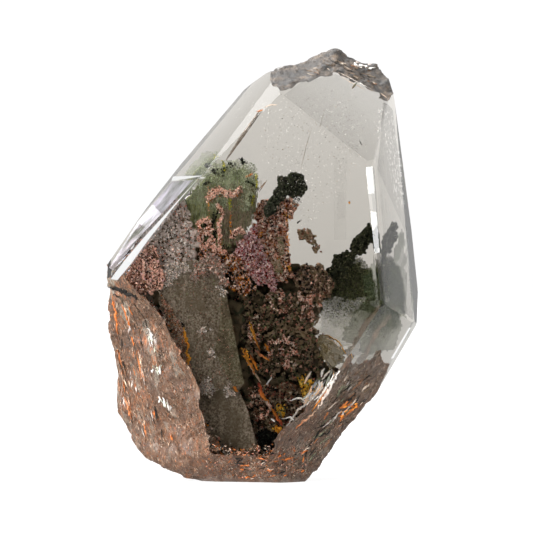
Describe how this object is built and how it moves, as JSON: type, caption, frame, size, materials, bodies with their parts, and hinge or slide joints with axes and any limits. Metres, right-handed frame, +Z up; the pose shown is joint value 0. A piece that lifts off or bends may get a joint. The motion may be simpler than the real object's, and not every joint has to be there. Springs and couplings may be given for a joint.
{
  "type": "chlorite quartz crystal",
  "caption": "Clear polished quartz crystal leaning to a point, on a rough iron-stained natural base, with green chlorite and pink mineral inclusions inside.",
  "frame": {"origin": "middle of the stone's footprint box, on the ground under the flat face that it stands on", "axes": "+Z up, along the stone's height; the large polished front face looks towards -Y; +X to the right as seen from the front"},
  "size_m": [0.0496, 0.0284, 0.0689],
  "materials": {
    "clear_quartz": "polished facets, rough natural skin stained with iron at the base and the tip",
    "pink_minerals": "rough, granular, pink to rusty brown",
    "green_chlorite": "fine grained, streaked olive green",
    "dark_chlorite": "mossy, nearly black green",
    "chlorite_dust": "fine dark grains that thin out downwards"
  },
  "bodies": {
    "root": {"quartz_crystal": "clear_quartz", "mineral_garden": "pink_minerals", "green_phantom": "green_chlorite", "chlorite_tuft": "dark_chlorite", "chlorite_veil": "chlorite_dust"}
  },
  "joints": []
}
